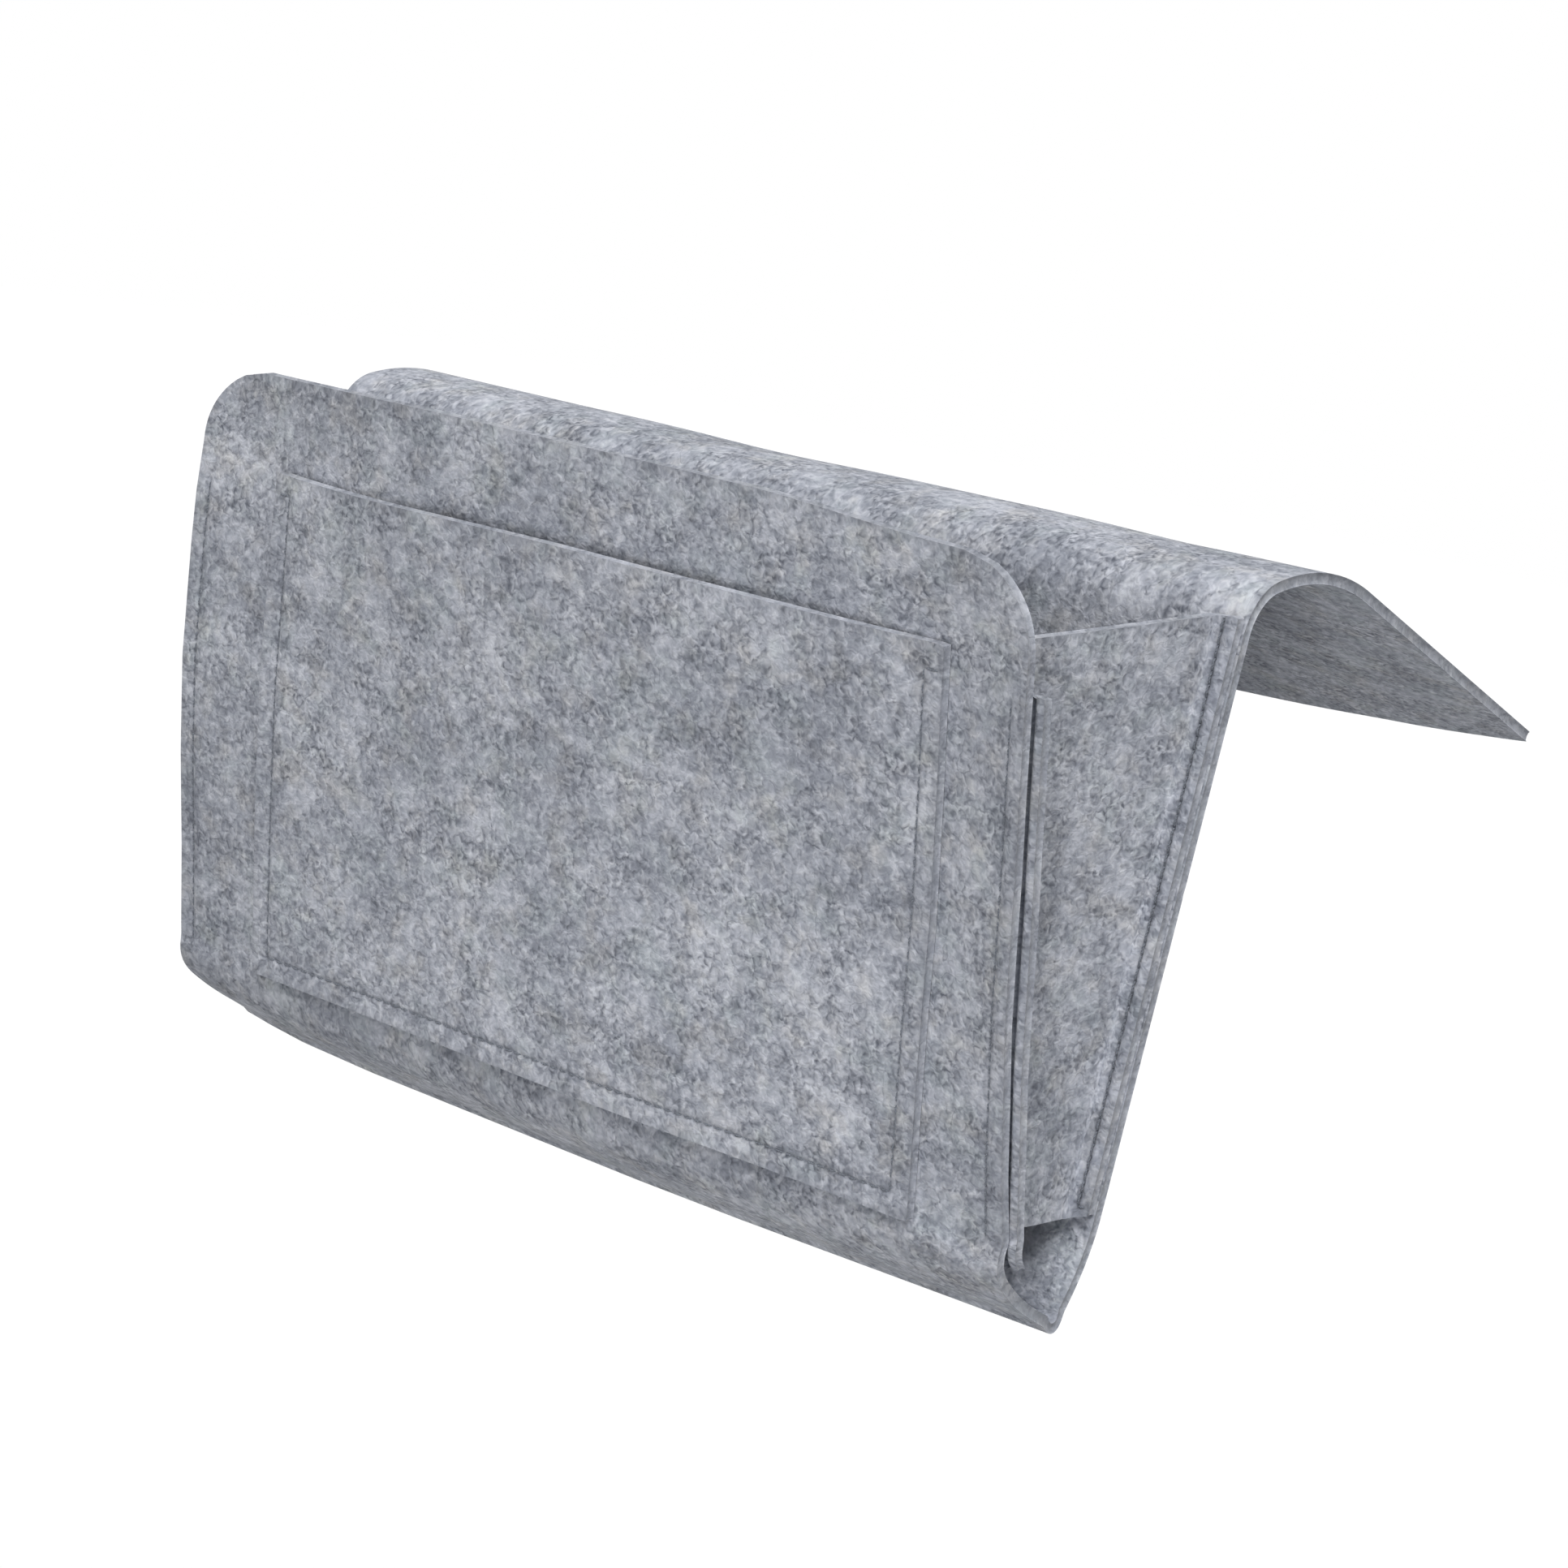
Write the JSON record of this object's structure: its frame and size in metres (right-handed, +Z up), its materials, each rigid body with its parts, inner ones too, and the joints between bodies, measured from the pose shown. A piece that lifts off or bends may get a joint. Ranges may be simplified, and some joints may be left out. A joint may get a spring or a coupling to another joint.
{
  "type": "bedside caddy",
  "caption": "Felt bedside caddy: a wide tongue slides under the mattress, and a gusseted pouch with a flat pocket sewn to its front hangs beside the bed.",
  "frame": {"origin": "middle of the tongue's underside, the face that rests on the bed base", "axes": "+X along the width, +Y towards the bed, +Z up; the back panel hangs upright and the tongue falls 19.2 degrees towards +Y"},
  "size_m": [0.334, 0.2399, 0.2059],
  "materials": {
    "felt": "matt heather-grey needled felt",
    "thread": "matt dark grey sewing thread"
  },
  "bodies": {
    "tongue": {"tongue": "felt"},
    "pouch_back": {"top_bend": "felt", "back_panel": "felt", "bottom_fold": "felt", "left_gusset": "felt", "right_gusset": "felt", "left_back_needle_thread": "thread", "left_back_bobbin_thread": "thread", "right_back_needle_thread": "thread", "right_back_bobbin_thread": "thread"},
    "pouch_front": {"front_panel": "felt", "front_pocket": "felt", "pocket_needle_thread": "thread", "pocket_bobbin_thread": "thread", "left_front_needle_thread": "thread", "left_front_bobbin_thread": "thread", "right_front_needle_thread": "thread", "right_front_bobbin_thread": "thread"}
  },
  "joints": [
    {"name": "tongue_fold", "type": "hinge", "parent": "tongue", "child": "pouch_back", "pos_m": [0, -0.10788, 0.01591], "axis": [1, 0, 0], "range_deg": [-105, 72], "deforming": ["top_bend"]},
    {"name": "pouch_opening", "type": "hinge", "parent": "pouch_back", "child": "pouch_front", "pos_m": [0, -0.12137, -0.1734], "axis": [1, 0, 0], "range_deg": [-18, 0], "deforming": ["bottom_fold", "left_gusset", "right_gusset"]}
  ]
}
